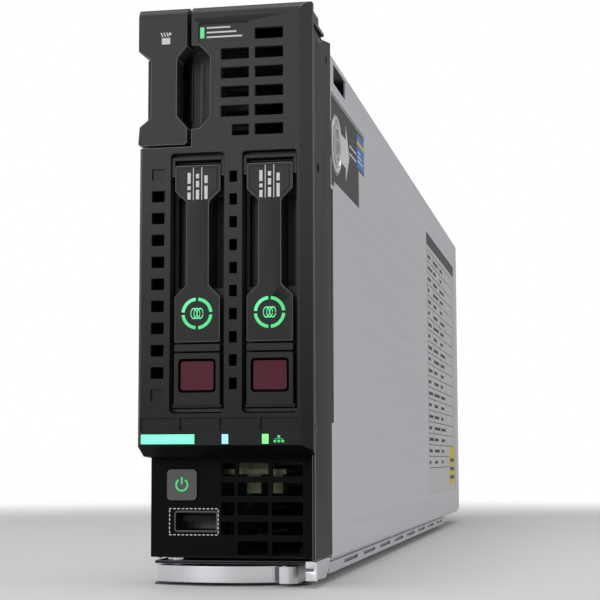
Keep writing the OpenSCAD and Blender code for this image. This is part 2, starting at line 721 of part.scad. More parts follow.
// Drive lever: label plate, narrow neck and lower plate with a light ring
lever_plate_y = 0.3;
lever_plate_t = 2.2;
plate_top = carrier_top - 2.6;
plate_low = carrier_low + 20;
ring_z = carrier_low + 28.8;
module label_line(inset) {
    w = lever_half - 0.9 - inset;
    polygon([
        [-w, plate_top - 0.9 - inset], [w, plate_top - 0.9 - inset], [w, plate_top - 7.7 + inset * 0.4],
        [w - 2.3 + inset * 0.6, plate_top - 9.9 + inset], [-w + 2.3 - inset * 0.6, plate_top - 9.9 + inset],
        [-w, plate_top - 7.7 + inset * 0.4]
    ]);
}
module drive_lever(center) at_front() color(plastic) translate([center, 0, 0]) difference() {
    w = lever_half;
    neck = w / 2;
    union() {
        facing(lever_plate_y, lever_plate_y + lever_plate_t) polygon([
            [-w, plate_top], [w, plate_top], [w, plate_top - 8], [neck, plate_top - 11.4],
            [neck, plate_low + 17.5], [w, plate_low + 14], [w, plate_low], [-w, plate_low],
            [-w, plate_low + 14], [-neck, plate_low + 17.5], [-neck, plate_top - 11.4], [-w, plate_top - 8]
        ]);
        translate([-w + 0.1, hinge_y, hinge_z]) rotate([0, 90, 0]) cylinder(r = barrel_r, h = 2 * w - 0.2);
        // spine and catch on the back
        block([-0.8, lever_plate_y + 1, plate_low + 6], [0.8, lever_plate_y + 3.6, hinge_z - 3]);
        block([-2.5, lever_plate_y + 1, plate_low + 0.6], [2.5, 4.6, plate_low + 2]);
    }
    translate([-w - 1, hinge_y, hinge_z]) rotate([0, 90, 0])
        cylinder(r = hinge_pin_r + pin_fit, h = 2 * w + 2);
    // inset line round the label plate
    facing(-1, lever_plate_y + 0.2) difference() {
        label_line(0);
        label_line(0.25);
    }
    // groove of the light ring
    translate([0, lever_plate_y + 0.4, ring_z]) rotate([90, 0, 0]) difference() {
        cylinder(r = 5, h = 2);
        translate([0, 0, -1]) cylinder(r = 3.8, h = 4);
    }
}
module drive_1_lever() drive_lever(bay_center_1);
module drive_2_lever() drive_lever(bay_center_2);

module eject_button(center) at_front() color([0.40, 0.10, 0.18]) translate([center, 0, 0]) {
    facing(0.8, 3.4) round_rect(-eject_w / 2, eject_low, eject_w / 2, eject_low + eject_h, 0.7);
    facing(3.4, 7.1 - eject_travel)
        round_rect(-eject_w / 2 + 1.2, eject_low + 1.2, eject_w / 2 - 1.2, eject_low + eject_h - 1.2, 0.5);
}
module drive_1_button() eject_button(bay_center_1);
module drive_2_button() eject_button(bay_center_2);

// Printed board along the closed wall
module system_board() at_front() color(board_green) difference() {
    sideways(board_x, board_face) polygon([
        [lower_setback + 17, board_low], [board_rear, board_low], [board_rear, board_high],
            [bezel_d - 1.5, board_high],
        [bezel_d - 1.5, pocket_low - 2.5], [8, pocket_low - 2.5], [8, ledge_top_z + 3.3],
            [bezel_d - 1.5, ledge_top_z + 3.3],
        [bezel_d - 1.5, port_high + 1.5], [lower_setback + 17, port_high + 1.5]
    ]);
    for (p = board_holes()) translate([board_x - 1, p[0], p[1]]) rotate([0, 90, 0])
        cylinder(r = 1.8, h = board_t + 2);
}
function board_holes() = concat(
    [for (y = [cage_rear - 20, bank_front_y - 8, board_rear - 8], z = [board_low + 3, board_high - 3])
        [y, z]],
    [for (z = [cpu_z - sink_w / 2 - 4, cpu_z + sink_w / 2 + 4]) [bank_rear_y - 6, z]]);

module board_standoffs() at_front() color(bright_metal) for (p = board_holes())
    translate([wall_inner, p[0], p[1]]) rotate([0, 90, 0]) cylinder(r = 2.6, h = board_lift);

module board_screws() at_front() color(bright_metal) for (p = board_holes())
    translate([board_face, p[0], p[1]]) rotate([0, 90, 0]) difference() {
        union() {
            cylinder(r = 2.5, h = 1.6);
            translate([0, 0, -board_t]) cylinder(r = 1.4, h = board_t + 1);
        }
        translate([0, 0, 0.8]) cylinder(r = 1.1, h = 2, $fn = 6);
    }

// Processor package in its socket frame
frame_half = sink_w / 2 - 3;
module processor(y) at_front() color([0.6, 0.6, 0.6]) {
    difference() {
        block([board_face, y + 14, cpu_z - frame_half],
            [board_face + 3, y + sink_len - 14, cpu_z + frame_half]);
        block([board_face + 1.2, y + 20, cpu_z - frame_half + 6],
              [board_face + 4, y + sink_len - 20, cpu_z + frame_half - 6]);
    }
    block([board_face + 1.5, y + 21, cpu_z - frame_half + 7],
        [board_face + 4, y + sink_len - 21, cpu_z + frame_half - 7]);
}
sink_front_y = bank_front_y + sink_inset;
sink_rear_y = bank_rear_y + sink_inset;
module processor_front() processor(sink_front_y);
module processor_rear() processor(sink_rear_y);

// Finned heat sink on four spring screws
module heat_sink(y) at_front() color([0.72, 0.73, 0.75]) {
    base = board_face + 4;
    top = board_face + sink_h;
    fin_pitch = (sink_w - fin_t) / (fin_count - 1);
    difference() {
        facing(y, y + sink_len) {
            translate([base, cpu_z - sink_w / 2]) square([3, sink_w]);
            for (k = [0 : fin_count - 1])
                translate([base + 2, cpu_z - sink_w / 2 + k * fin_pitch]) square([top - base - 2, fin_t]);
        }
        for (dy = [sink_screw_y, sink_len - sink_screw_y], z = [-sink_screw_z, sink_screw_z])
            translate([base - 1, y + dy, cpu_z + z]) rotate([0, 90, 0]) cylinder(r = 4, h = sink_h);
    }
    for (dy = [sink_screw_y, sink_len - sink_screw_y], z = [-sink_screw_z, sink_screw_z])
        translate([board_face, y + dy, cpu_z + z]) rotate([0, 90, 0]) {
            cylinder(r = 2, h = 16);
            translate([0, 0, 9]) cylinder(r = 3.9, h = 3);
        }
}
module heat_sink_front() heat_sink(sink_front_y);
module heat_sink_rear() heat_sink(sink_rear_y);

function bank_places() = concat(
    [for (k = [0 : memory_count - 1]) bank_low_z + k * memory_pitch],
    [for (k = [0 : memory_count - 1]) bank_high_z + k * memory_pitch]);

// Memory sockets with end towers
module memory_sockets(y) at_front() color(black_part) for (z = bank_places()) difference() {
    union() {
        block([board_face, y, z - socket_half], [board_face + socket_h, y + memory_len, z + socket_half]);
        for (e = [y - socket_end, y + memory_len - 3])
            block([board_face, e, z - tower_half],
                [board_face + 2 * socket_h, e + socket_end + 3, z + tower_half]);
    }
    block([board_face + 3, y - 0.2, z - slot_half],
        [board_face + memory_h, y + memory_len + 0.2, z + slot_half]);
}
module memory_sockets_front() memory_sockets(bank_front_y);
module memory_sockets_rear() memory_sockets(bank_rear_y);

// Memory modules: card, nine packages on each face
module memory_modules(y) at_front() color([0.1, 0.35, 0.15]) for (z = bank_places()) {
    block([board_face + 3, y, z - module_half], [board_face + memory_h, y + memory_len, z + module_half]);
    for (k = [0 : chip_count - 1], side = [-1, 1])
        translate([board_face + socket_h + 3, y + chip_gap + k * chip_pitch,
                   z + (side > 0 ? module_half : -module_half - chip_t)])
            cube([memory_h * 0.35, chip_pitch - chip_gap, chip_t]);
}
module memory_modules_front() memory_modules(bank_front_y);
module memory_modules_rear() memory_modules(bank_rear_y);

// Plug-in cards at the rear, on stacking connectors
card_x = board_face + 14;
card_t = 1.6;
cooler_h = 8;
module plug_in_card(z0, z1) {
    size = plug_card_len - 14.6;
    low = z0 + 10;
    fin_step = size * 0.156;
    block([card_x, card_y, z0], [card_x + card_t, card_end, z1]);
    block([card_x + card_t, card_y + 6, low + 2], [card_x + 3, card_y + 2 + size, low + size - 2]);
    difference() {
        block([card_x + 3, card_y + 4, low], [card_x + 3 + cooler_h, card_y + 4 + size, low + size]);
        for (k = [0 : 5])
            block([card_x + 5, card_y + 3, low + 2 + k * fin_step],
                  [card_x + 4 + cooler_h, card_y + 5 + size, low + 2 + (k + 0.6) * fin_step]);
    }
}
module network_adapter() at_front() color(board_green) plug_in_card(board_low + 4, cpu_z - 6);
module mezzanine_card() at_front() color(board_green) plug_in_card(cpu_z + 2, board_high - 18);
module card_connectors() at_front() color(black_part) for (z = [board_low + 10, cpu_z + 8])
    difference() {
        block([board_face, card_end - 10, z], [card_x, card_end - 2, z + plug_card_len - 6.6]);
        block([board_face + 6, card_end - 7, z + 2],
            [board_face + 8, card_end - 1, z + plug_card_len - 8.6]);
    }

// Storage controller on the board below the drive cage
controller_len = 56;
controller_h = 36;
controller_lift = 6;
module storage_controller() at_front() color([0.1, 0.3, 0.2]) {
    y = cage_rear - controller_len - 8;
    low = board_low + 4;
    chip = controller_h - 14;
    card = board_face + controller_lift;
    block([board_face, y + 4, low + 2], [card, y + 12, low + controller_h - 2]);
    block([card, y, low], [card + card_t, y + controller_len, low + controller_h]);
    block([card + card_t, y + chip, low + 8], [card + card_t + 1.8, y + 2 * chip, low + 8 + chip]);
}

chipset_len = 32;
chipset_h = 26;
chipset_reach = 14;
module chipset_heat_sink() at_front() color([0.2, 0.22, 0.24]) {
    y = cage_rear - chipset_len - 30;
    z = pocket_low + 8;
    step = chipset_h * 0.1385;
    block([board_face, y + 4, z + 2], [board_face + 2, y + chipset_len - 4, z + chipset_h - 2]);
    difference() {
        block([board_face + 2, y, z], [board_face + chipset_reach, y + chipset_len, z + chipset_h]);
        for (k = [0 : 6])
            block([board_face + 4.5, y - 1, z + (k + 0.44) * step],
                  [board_face + chipset_reach + 1, y + chipset_len + 1, z + (k + 1) * step]);
    }
}

cell_y = board_rear - 48;
cell_z = board_high - 6;
module cell_holder() at_front() color(black_part) difference() {
    block([board_face, cell_y - 12, cell_z - 8], [board_face + 6.4, cell_y + 12, cell_z + 2]);
    block([board_face + 2, cell_y - 10.1, cell_z - 6], [board_face + 7, cell_y + 10.1, cell_z + 3]);
}
module coin_cell() at_front() color(bright_metal) intersection() {
    translate([board_face + 2.1, cell_y, cell_z + 4]) rotate([0, 90, 0]) cylinder(r = 10, h = 3.2);
    block([board_face, cell_y - 12, cell_z - 5.9], [board_face + 8, cell_y + 12, board_high]);
}

io_z = power_center[1] + power_side / 2 - card_t;
io_len = 36;
module front_io_board() at_front() color(board_green) {
    right = face_right - 8.8;
    rear = bezel_d + io_len;
    block([board_face + 1, bezel_d, io_z], [right, rear, io_z + card_t]);
    block([board_face, rear - 14, io_z - 3], [board_face + 5, rear - 2, io_z]);
    for (x = [right - 13, right - 6]) block([x, bezel_d + 2, io_z - 6], [x + 4.5, bezel_d + 12, io_z]);
    block([right - 17, bezel_d + 4, io_z + card_t], [right - 5, bezel_d + 10, io_z + card_t + 3.4]);
}

module power_switch() at_front() color(black_part) {
    y = lower_setback + 4.4 + power_travel;
    block([board_face + gap, y, io_z - 6.4], [board_face + 6, bezel_d + 5, io_z]);
}

module power_button() at_front() color([0.3, 0.32, 0.3]) translate([power_center[0], 0, power_center[1]]) {
    facing(lower_setback - 0.6, lower_setback + 2.8)
        round_rect(-power_side / 2, -power_side / 2, power_side / 2, power_side / 2, 1.3);
    facing(lower_setback + 2.8, lower_setback + 4) circle(2.5);
}

module service_port_shell() at_front() color(bright_metal) difference() {
    facing(lower_setback + 0.6, lower_setback + 16)
        round_rect(port_left - 0.5, port_low - 0.5, port_right + 0.5, port_high + 0.5, 0.9);
    facing(lower_setback - 1, lower_setback + 15)
        round_rect(port_left, port_low, port_right, port_high, 0.6);
}
module service_port_tongue() at_front() color(black_part)
    block([port_left + 1, lower_setback + 6, port_low + 2.6],
        [port_right - 1, lower_setback + 15, port_high - 1.2]);

// Multi-pin connector behind the pull tab
module diagnostic_connector() at_front() color(black_part) difference() {
    block([board_face, pocket_rear + 3.2, scoop_low - 1.5],
        [tab_right - 1, bezel_d + 12, scoop_high + 2.5]);
    block([board_face + 1.4, pocket_rear + 2, scoop_low],
        [tab_right - 2.4, pocket_rear + 9, scoop_high + 1]);
}

// Rear wall beside the connectors, with turned edges on the floor and top
guide_half = 7;
guide_z = [cpu_z - 14, board_high - 20];
signal_z = [cpu_z + 6, guide_z[1] - guide_half - 1.75];
power_z = [board_low + 14, guide_z[0] - guide_half - 13.75];
signal_reach = 20;
hole_r = 2.7;
hole_pitch = 7.2;
module rear_wall() at_front() color(bright_metal) difference() {
    left = board_face + signal_reach + 1.5;
    right = panel_inner - gap;
    low = panel_low_z + sheet + gap;
    high = panel_top_z - sheet - gap;
    union() {
        block([left, rear_y - sheet, low], [right, rear_y, high]);
        for (z = [low, high - sheet]) block([left, rear_y - 9, z], [right - 8, rear_y, z + sheet]);
    }
    // hexagonal air holes
    for (i = [0 : 2], k = [0 : floor((high - low - 27) / hole_pitch)])
        translate([left + 4.5 + i * 6.2, rear_y + 1, low + 13 + k * hole_pitch + i % 2 * hole_pitch / 2])
            rotate([90, 0, 0]) cylinder(r = hole_r, h = 4, $fn = 6);
}

// Blind-mate signal connector: housing with rows of contact slots
module signal_connector() at_front() color(black_part) difference() {
    pitch = (signal_z[1] - signal_z[0] - 2) / 10;
    block([board_face, rear_y - 24, signal_z[0]], [board_face + signal_reach, blade_d, signal_z[1]]);
    for (k = [0 : 9], i = [0 : 3])
        block([board_face + 2.2 + i * 4.2, blade_d - 7, signal_z[0] + 2 + k * pitch],
              [board_face + 4.6 + i * 4.2, blade_d + 1, signal_z[0] + 2 + (k + 0.6) * pitch]);
}

module power_connector() at_front() color(black_part) difference() {
    pitch = (power_z[1] - power_z[0] - 3.2) / 4;
    block([board_face, rear_y - 24, power_z[0]],
        [board_face + signal_reach - 2, blade_d - 1.2, power_z[1]]);
    for (k = [0 : 3])
        block([board_face + 2.5, blade_d - 9, power_z[0] + 3 + k * pitch],
              [board_face + signal_reach - 4.5, blade_d + 1, power_z[0] + 3 + (k + 0.5) * pitch]);
}

// Guide blocks that align the blade with the enclosure's pins
guide_x = board_face + guide_half;
guide_end = rear_y + 5;
module guide_blocks() at_front() color([0.6, 0.6, 0.62]) for (z = guide_z) difference() {
    block([board_face, rear_y - 20, z - guide_half],
        [board_face + 2 * guide_half, guide_end, z + guide_half]);
    translate([guide_x, guide_end + 1, z]) rotate([90, 0, 0]) cylinder(r = guide_r, h = guide_depth + 1);
}

// Sliding side panel with turned, slotted edges
latch_y = panel_front + 9.8;
latch_z = panel_top_z - 28.6;
latch_rim = 1;
bracket_x = panel_inner - latch_rim - latch_travel - 3.4;
module access_panel() at_front() color(bright_metal) difference() {
    union() {
        block([panel_inner, panel_front, panel_low_z], [side_x, rear_y, panel_top_z]);
        block([side_x - panel_flange, panel_front + 2, panel_top_z - sheet], [side_x, rear_y, panel_top_z]);
        block([side_x - panel_flange, panel_front + 2, panel_low_z], [side_x, rear_y, panel_low_z + sheet]);
    }
    // front notch beside the cage and slot near the top corner
    block([panel_inner - 1, panel_front - 1, bay_low_z - 2.3],
        [side_x + 1, panel_front + 5, bay_top_z - 5.6]);
    block([panel_inner - 1, panel_front + 5.5, panel_top_z - 8.3],
        [side_x + 1, panel_front + 31.8, panel_top_z - 1.5]);
    // hole for the latch button, open to the front edge
    translate([panel_inner - 1, latch_y, latch_z]) rotate([0, 90, 0])
        cylinder(r = latch_r + gap, h = sheet + 2);
    block([panel_inner - 1, panel_front - 1, latch_z - 6], [side_x + 1, latch_y - 4, latch_z + 6]);
    // slots that run on the studs
    for (y = stud_y, z = [panel_low_z - 1, panel_top_z - sheet - 1])
        translate([stud_x, panel_front + y + stud_r + gap, z]) rotate(-90) linear_extrude(sheet + 2)
            stadium(panel_travel + 2 * stud_r + 2 * gap, 2 * stud_r + 2 * gap);
}

// Round latch button with a raised rim
module panel_latch() at_front() color(bright_metal) translate([0, latch_y, latch_z])
    rotate([0, 90, 0]) difference() {
    union() {
        translate([0, 0, panel_inner - latch_rim])
            cylinder(r = latch_r, h = half_w - panel_inner + latch_rim);
        translate([0, 0, panel_inner - 7.5]) cylinder(r = 4, h = 7);
    }
    translate([0, 0, side_x - 0.5]) difference() {
        cylinder(r = 8.6, h = 3);
        translate([0, 0, -1]) cylinder(r = 6.6, h = 5);
    }
    translate([0, 0, side_x - 0.6]) cylinder(r = 5.4, h = 3);
}

// Bracket inside the panel that guides the latch button's stem
module latch_bracket() at_front() color(bright_metal) difference() {
    union() {
        block([bracket_x, latch_y - 7, latch_z - 6], [bracket_x + sheet, latch_y + 13, latch_z + 12]);
        block([bracket_x, latch_y + 13 - sheet, latch_z - 6], [panel_inner, latch_y + 13, latch_z + 12]);
        block([bracket_x, latch_y - 7, latch_z + 12 - sheet], [panel_inner, latch_y + 13, latch_z + 12]);
    }
    translate([panel_inner - 8, latch_y, latch_z]) rotate([0, 90, 0]) cylinder(r = 4 + 0.2, h = 4);
}

base_pan();
bottom_rail_left();
bottom_rail_right();
front_bezel();
side_frame();
top_guide();
side_catch();
lever_bracket();
lever_pivot_pin();
drive_cage();
cage_stays();
drive_backplane();
drive_connectors();
system_board();
board_standoffs();
board_screws();
processor_front();
processor_rear();
heat_sink_front();
heat_sink_rear();
memory_sockets_front();
memory_sockets_rear();
memory_modules_front();
memory_modules_rear();
network_adapter();
mezzanine_card();
card_connectors();
storage_controller();
chipset_heat_sink();
cell_holder();
coin_cell();
front_io_board();
power_switch();
service_port_shell();
service_port_tongue();
health_light();
unit_light();
link_light();
diagnostic_connector();
rear_wall();
signal_connector();
power_connector();
guide_blocks();
panel_studs();
pull_tab();
label_card();
release_lever();
release_button();
power_button();
drive_1_carrier();
drive_1_disk();
drive_1_lever();
drive_1_button();
drive_2_carrier();
drive_2_disk();
drive_2_lever();
drive_2_button();
access_panel();
panel_latch();
latch_bracket();
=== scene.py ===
# %% [markdown]
# # A half-height blade server
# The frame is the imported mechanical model: every piece is in its place, in metres, with the front of
# the blade towards -Y and its width along X. This lesson gives each piece its finish, and models the
# small things that sheet metal and moulded plastic carry: softened edges, icons, stickers, lit rings.
import json
import math

import bmesh
import bpy
from mathutils import Matrix, Vector
from mathutils.bvhtree import BVHTree


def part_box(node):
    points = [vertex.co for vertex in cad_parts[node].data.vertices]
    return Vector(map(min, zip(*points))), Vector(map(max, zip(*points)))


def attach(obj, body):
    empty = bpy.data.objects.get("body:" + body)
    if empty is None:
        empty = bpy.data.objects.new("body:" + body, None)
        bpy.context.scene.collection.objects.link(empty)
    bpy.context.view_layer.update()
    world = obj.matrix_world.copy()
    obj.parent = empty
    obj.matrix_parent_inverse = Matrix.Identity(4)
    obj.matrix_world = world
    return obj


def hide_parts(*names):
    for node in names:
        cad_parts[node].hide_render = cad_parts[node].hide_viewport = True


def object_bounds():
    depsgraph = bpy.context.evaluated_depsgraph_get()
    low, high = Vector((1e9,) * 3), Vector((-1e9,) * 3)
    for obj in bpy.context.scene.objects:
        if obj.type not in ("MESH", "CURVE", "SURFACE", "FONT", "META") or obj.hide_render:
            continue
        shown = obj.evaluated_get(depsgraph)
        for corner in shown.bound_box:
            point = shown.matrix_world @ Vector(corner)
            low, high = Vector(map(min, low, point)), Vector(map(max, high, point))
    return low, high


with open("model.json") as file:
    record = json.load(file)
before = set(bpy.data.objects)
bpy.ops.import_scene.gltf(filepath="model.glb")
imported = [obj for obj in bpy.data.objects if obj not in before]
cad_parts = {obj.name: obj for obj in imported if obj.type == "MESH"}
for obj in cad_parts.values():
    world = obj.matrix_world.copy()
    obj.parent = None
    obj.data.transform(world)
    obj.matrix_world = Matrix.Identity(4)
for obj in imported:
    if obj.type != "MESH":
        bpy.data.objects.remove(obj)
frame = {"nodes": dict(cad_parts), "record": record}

MM = 0.001
cad_box = [list(corner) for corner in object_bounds()]
low, high = (Vector(corner) for corner in cad_box)
FRONT = low.y
print("size of the blade in mm:", [round(s / MM, 1) for s in high - low])

# %% [markdown]
# ## Camera
# The blade is seen from low down and a little to its right, close enough for the sides to converge.
# The camera's place is given in the frame's metres, and its direction as two turns: first up from the
# level, then round towards the left of the blade. A long lens keeps the tall front nearly straight.

# %% The camera
camera_data = bpy.data.cameras.new("camera")
camera_data.lens = 90.28
camera_data.sensor_width = 36
camera = bpy.data.objects.new("camera", camera_data)
bpy.context.scene.collection.objects.link(camera)
camera.matrix_world = (
    Matrix.Translation((0.10965, FRONT - 0.44544, 0.03905))
    @ Matrix.Rotation(0.1904, 4, "Z")
    @ Matrix.Rotation(math.radians(90) + 0.1051, 4, "X")
    @ Matrix.Rotation(-0.0025, 4, "Z")
)
camera_data.clip_end = 20
bpy.context.scene.camera = camera
bpy.context.scene.view_settings.view_transform = "Standard"
print("camera stands", round((camera.location - low).length, 3), "m from the lower front corner")

# %% [markdown]
# ## Finishes
# A finish is a small network of shader nodes. Wiring them one by one hides the idea, so two short
# classes do it: a wire takes part in sums as a number does, and a finish adds any other node with one
# method. What varies over a surface goes to colour, roughness, metallic or bump; the rest is a number
# on the shader.

# %% Wires that add up
class Wire:
    """One output of a node. Sums of wires and numbers add their Math nodes."""

    def __init__(self, finish, socket):
        self.finish, self.socket = finish, socket

    def maths(self, operation, *values):
        return self.finish.node("ShaderNodeMath", {"operation": operation}, dict(enumerate(values)))

    def __add__(self, other):
        return self.maths("ADD", self, other)

    def __sub__(self, other):
        return self.maths("SUBTRACT", self, other)

    def __rsub__(self, other):
        return self.maths("SUBTRACT", other, self)

    def __mul__(self, other):
        return self.maths("MULTIPLY", self, other)

    __radd__, __rmul__ = __add__, __mul__


# %% One class for every finish
class Finish:
    """A material with one Principled shader; node() adds any node to it."""

    def __init__(self, name, colour, roughness, metallic=0.0, **sockets):
        self.material = bpy.data.materials.new(name)
        self.material.use_nodes = True
        self.tree = self.material.node_tree
        self.shader = self.tree.nodes["Principled BSDF"]
        self.colour = (*colour, 1.0)
        self.shader.inputs["Base Color"].default_value = self.colour
        self.shader.inputs["Roughness"].default_value = roughness
        self.shader.inputs["Metallic"].default_value = metallic
        for key, value in sockets.items():
            self.shader.inputs[key.replace("_", " ")].default_value = value

    def node(self, kind, settings=None, inputs=None, output=0):
        made = self.tree.nodes.new(kind)
        for key, value in (settings or {}).items():
            if key == "stops":
                for stop, (place, tone) in zip(made.color_ramp.elements, value):
                    stop.position, stop.color = place, (tone, tone, tone, 1)
            else:
                setattr(made, key, value)
        for key, value in (inputs or {}).items():
            if isinstance(value, Wire):
                self.tree.links.new(value.socket, made.inputs[key])
            else:
                made.inputs[key].default_value = value
        return Wire(self, made.outputs[output])

    def drive(self, name, wire):
        self.tree.links.new(wire.socket, self.shader.inputs[name])
        return self

    def axes(self):
        """The object's own X, Y and Z in metres, as three wires."""
        spot = self.node("ShaderNodeTexCoord", output="Object")
        return [self.node("ShaderNodeSeparateXYZ", inputs={0: spot}, output=i) for i in range(3)]

    def noise(self, scale, stretch=(1, 1, 1), detail=3.0):
        spot = self.node("ShaderNodeTexCoord", output="Object")
        spot = self.node("ShaderNodeMapping", inputs={"Vector": spot, "Scale": stretch})
        inputs = {"Vector": spot, "Scale": scale, "Detail": detail}
        return self.node("ShaderNodeTexNoise", inputs=inputs)

    def blend(self, factor, first, second):
        inputs = {0: factor, 6: first if isinstance(first, Wire) else (*first, 1), 7: (*second, 1)}
        return self.node("ShaderNodeMix", {"data_type": "RGBA"}, inputs, output=2)

    def ramp(self, wire, start, end):
        """0 below start, 1 above end, and smooth between."""
        inputs = {"Value": wire, "From Min": start, "From Max": end}
        return self.node("ShaderNodeMapRange", {"interpolation_type": "SMOOTHSTEP"}, inputs)

    def rough(self, height, strength, distance=0.0001):
        inputs = {"Height": height, "Strength": strength, "Distance": distance}
        return self.drive("Normal", self.node("ShaderNodeBump", inputs=inputs))


print("finishes are ready to be mixed")

# %% [markdown]
# ### Moulded plastic
# The bezel is charcoal glass-filled plastic with a very fine grain. Its lower, set-back part is
# smoother and black, and painted shade makes it darker still. A grain this fine is a bump, not
# geometry. Painted shade also darkens every moulding towards the bottom, as if light fell from
# above; it follows the height of the piece, so it stays put when the camera moves. The narrow faces
# of each bevel get a lighter finish of their own: a painted highlight, the rim of light a chamfer catches.

# %% Plastics
def moulded(name, light, dark, shade_full_at, shade_start_at, roughness=0.42, shine=0.25):
    made = Finish(name, light, roughness, Specular_IOR_Level=shine)
    height = made.axes()[2]
    grain = made.noise(2600, detail=2.0)
    # painted shade: the colour goes from the lighter tone at the top to the darker tone near the bottom
    tone = made.blend(made.ramp(height, shade_start_at, shade_full_at), light, dark)
    made.drive("Base Color", made.blend(grain * 0.25, tone, (0.0, 0.0, 0.0)))
    made.rough(grain, 0.25, 0.00005)
    return made


# charcoal and the drive moulding below keep their own dark colours, with painted shade darkening them towards
# the bottom
charcoal = moulded("charcoal_moulding", (0.040, 0.040, 0.041), (0.005, 0.006, 0.007), 0.042, 0.150)
# painted highlight: a light grey on the bevels for the rim of light they catch, itself darker towards the
# bottom as painted shade
painted_highlight = moulded("painted_highlight_edge", (0.20, 0.20, 0.205), (0.10, 0.10, 0.105), 0.030, 0.150, 0.35, 0.5)
# the set-back face is the moulding's own black, made darker still as painted shade; the rim finish after it
# is a dimmer painted highlight for that part's bevels
black_and_shaded_set_back = moulded("set_back_black_and_painted_shade", (0.0022, 0.0022, 0.0024), (0.0016, 0.0016, 0.0018), 0.0, 0.045, 0.5, 0.08)
lower_rim_highlight = moulded("lower_rim_highlight", (0.035, 0.035, 0.036), (0.030, 0.030, 0.031), 0.0, 0.045, 0.4, 0.3)
drive_plastic = moulded("drive_moulding", (0.030, 0.030, 0.031), (0.012, 0.012, 0.013), 0.050, 0.130)
maroon = Finish("maroon_plastic", (0.088, 0.009, 0.024), 0.40, Specular_IOR_Level=0.2)
maroon.rough(maroon.noise(2600), 0.2, 0.00005)
# painted highlight: a lighter maroon on the eject buttons' bevels, for the rim of light they catch
maroon_highlight_edge = Finish("maroon_highlight_edge", (0.20, 0.06, 0.10), 0.3)
housing = Finish("connector_housing", (0.012, 0.012, 0.014), 0.5, Specular_IOR_Level=0.2)
housing.rough(housing.noise(1800), 0.15)
# painted shade: a near-black finish for the sheet behind the top vents, standing for the dark inside
vent_shade = Finish("vent_painted_shade", (0.003, 0.003, 0.004), 0.6, Specular_IOR_Level=0.1)
vent_shade.rough(vent_shade.noise(2200), 0.1)
print("plastics:", charcoal.material.name, drive_plastic.material.name, maroon.material.name)

# %% [markdown]
# ### Metals
# Sheet steel is brushed in one direction before it is folded, so its grain is noise that is stretched
# a hundredfold along the blade. The grain moves the roughness and a shallow bump; the colour hardly
# changes. Painted sheet is black with a blue cast, and the lever under the front is polished.

# %% Metals
def brushed(name, colour, roughness, stretch, depth=0.12, scale=420, metallic=1.0):
    made = Finish(name, colour, roughness, metallic)
    grain = made.noise(scale, stretch, 4.0)
    cloud = made.noise(9, (1, 0.4, 1), 2.0)
    made.drive("Roughness", grain * 0.16 + cloud * 0.10 + (roughness - 0.13))
    made.drive("Base Color", made.blend(grain * 0.3, colour, tuple(0.72 * c for c in colour)))
    made.rough(grain, depth, 0.00004)
    return made


along = (1, 0.012, 1)
panel_steel = brushed("brushed_panel", (0.68, 0.69, 0.72), 0.44, along, 0.2)
zinc = brushed("zinc_sheet", (0.60, 0.61, 0.63), 0.42, along)
satin = brushed("satin_catch", (0.66, 0.67, 0.68), 0.36, (1, 1, 0.05))
polished = brushed("polished_lever", (0.80, 0.81, 0.83), 0.20, (0.02, 1, 1), 0.05, 300)
cut_edge = brushed("cut_edge", (0.86, 0.87, 0.90), 0.30, (1, 1, 1), 0.05)
plated = brushed("plated_fastener", (0.62, 0.62, 0.63), 0.30, (1, 1, 1), 0.05, 900)
aluminium = brushed("bare_aluminium", (0.66, 0.67, 0.69), 0.38, (1, 0.03, 1), 0.12)
nickel = brushed("nickel_plate", (0.58, 0.57, 0.54), 0.28, (1, 1, 1), 0.05, 700)
painted = Finish("painted_sheet", (0.008, 0.009, 0.013), 0.45, Specular_IOR_Level=0.15)
painted.rough(painted.noise(1500, detail=3.0), 0.22, 0.00006)
# painted highlight: a grey on the bevels of the black sheet, for the rim of light they catch
black_sheet_highlight_edge = Finish("black_sheet_highlight_edge", (0.20, 0.20, 0.22), 0.35)
print("metals:", panel_steel.material.name, zinc.material.name, polished.material.name)

# %% [markdown]
# ### Boards, lenses and print
# Solder mask is olive green and glossy, with copper tracks that show as slightly lighter lines under
# it. A brick pattern of long thin bricks gives such parallel tracks, and its mortar lines are the gaps.
# The status lights are lit, so their colour is emitted; print on labels is matt.

# %% Boards, lenses and print
def solder_mask(name, colour, track):
    made = Finish(name, colour, 0.35, Coat_Weight=0.3)
    x, y, z = made.axes()
    spot = made.node("ShaderNodeCombineXYZ", inputs={0: y + x, 1: z + x * 0.3})
    inputs = {"Vector": spot, "Scale": 260.0, "Color1": (1, 1, 1, 1), "Color2": (0.7, 0.7, 0.7, 1)}
    inputs.update({"Mortar": (0, 0, 0, 1), "Mortar Size": 0.03, "Brick Width": 3.5, "Row Height": 0.4})
    bricks = made.node("ShaderNodeTexBrick", inputs=inputs, output=1)
    cloud = made.ramp(made.noise(70, detail=1.0), 0.45, 0.6)
    mask = (1 - bricks) * cloud
    made.drive("Base Color", made.blend(mask * 0.7, colour, track))
    made.rough(mask, 0.2)
    return made


def lit(name, colour, strength):
    made = Finish(name, colour, 0.3)
    glow = made.noise(420, detail=1.0)
    made.drive("Emission Color", made.blend(glow * 0.5, colour, tuple(min(1, c + 0.35) for c in colour)))
    made.shader.inputs["Emission Strength"].default_value = strength
    return made


